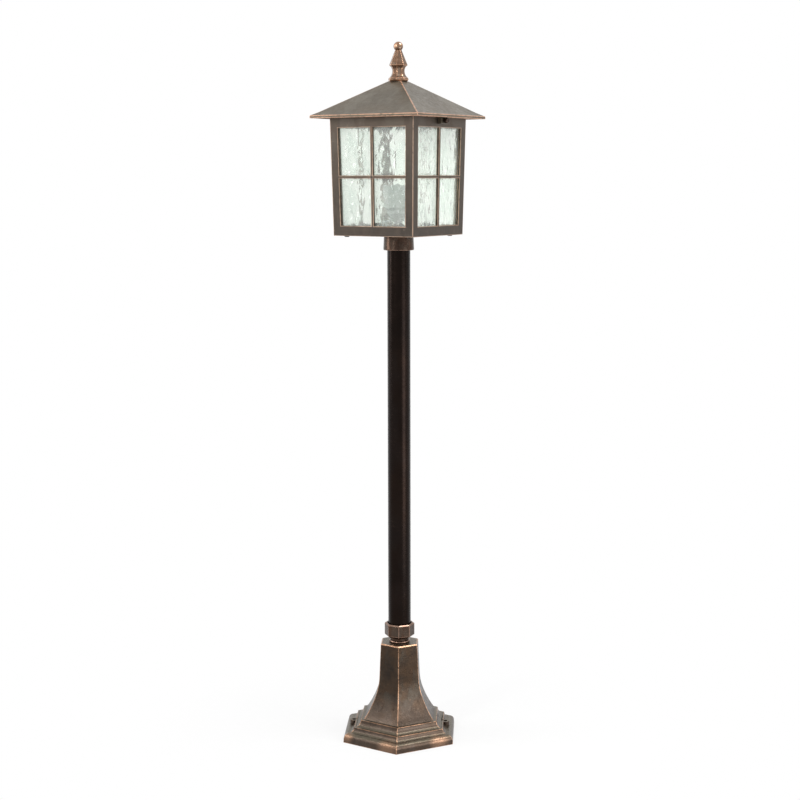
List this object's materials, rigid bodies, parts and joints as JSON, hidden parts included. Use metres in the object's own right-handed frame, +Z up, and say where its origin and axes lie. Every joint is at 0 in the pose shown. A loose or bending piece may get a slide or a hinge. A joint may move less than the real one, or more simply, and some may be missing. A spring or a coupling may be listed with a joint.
{
  "type": "lantern floor lamp",
  "caption": "Square glazed garden lantern with a lift-off pyramid roof and finial, on a round pole over a hexagonal bell-shaped foot that bolts to the ground.",
  "frame": {"origin": "centre of the hexagonal foot's underside, on the pole's axis", "axes": "+Z up along the pole; the lantern's front face looks along -Y and its screw lugs lie on X"},
  "size_m": [0.2204, 0.2136, 1.2],
  "materials": {
    "cast_bronze": "antiqued dark bronze with copper worn edges",
    "pole_bronze": "satin dark bronze",
    "lantern_bronze": "satin dark bronze with worn edges",
    "roof_bronze": "satin grey-brown bronze with worn edges",
    "finial_bronze": "rubbed copper bronze",
    "water_glass": "rippled",
    "zinc_steel": "zinc plated",
    "dark_steel": "blackened",
    "brass": "dull",
    "thread_metal": "nickel plated",
    "holder_plastic": "glazed",
    "block_plastic": "moulded",
    "bush_rubber": "matt"
  },
  "bodies": {
    "post": {"base_casting": "cast_bronze", "coupling": "cast_bronze", "coupling_washer": "zinc_steel", "coupling_lock_nut": "zinc_steel", "coupling_grub_screws": "zinc_steel", "pole_tube": "pole_bronze"},
    "lantern": {"lantern_collar": "cast_bronze", "collar_grub_screws": "zinc_steel", "collar_washer": "zinc_steel", "collar_lock_nut": "zinc_steel", "cable_bush": "bush_rubber", "lantern_floor": "lantern_bronze", "floor_screws": "dark_steel", "body_frame": "lantern_bronze", "glass_front": "water_glass", "glass_right": "water_glass", "glass_back": "water_glass", "glass_left": "water_glass", "glass_strips": "brass", "strip_screws": "zinc_steel", "holder_bracket": "zinc_steel", "bracket_screws": "zinc_steel", "holder_nipple": "zinc_steel", "holder_nut": "zinc_steel", "lampholder_cap": "holder_plastic", "lampholder_base": "holder_plastic", "lampholder_sleeve": "holder_plastic", "lampholder_core": "holder_plastic", "lampholder_shell": "thread_metal", "lampholder_contact": "brass", "terminal_block": "block_plastic", "terminal_screws": "brass", "block_screw": "zinc_steel", "earth_washer": "zinc_steel", "earth_screw": "zinc_steel"},
    "roof": {"roof_shell": "roof_bronze", "finial_washer": "zinc_steel", "finial_nut": "zinc_steel"},
    "finial": {"finial": "finial_bronze", "finial_stud": "zinc_steel"},
    "thumbscrew_right": {"roof_screw_right": "roof_bronze"},
    "thumbscrew_left": {"roof_screw_left": "roof_bronze"}
  },
  "joints": [
    {"name": "lantern_turn", "type": "hinge", "parent": "post", "child": "lantern", "pos_m": [0, 0, 0.8533], "axis": [0, 0, 1], "range_deg": [-180, 180]},
    {"name": "roof_lift", "type": "slide", "parent": "lantern", "child": "roof", "axis": [0, 0, 1], "range_m": [0, 0.25]},
    {"name": "finial_turn", "type": "hinge", "parent": "roof", "child": "finial", "pos_m": [0, 0, 1.135], "axis": [0, 0, 1], "range_deg": [-180, 180]},
    {"name": "right_screw_turn", "type": "hinge", "parent": "roof", "child": "thumbscrew_right", "pos_m": [0.0872, 0, 1.0683], "axis": [1, 0, 0], "range_deg": [-180, 180]},
    {"name": "left_screw_turn", "type": "hinge", "parent": "roof", "child": "thumbscrew_left", "pos_m": [-0.0872, 0, 1.0683], "axis": [-1, 0, 0], "range_deg": [-180, 180]}
  ]
}
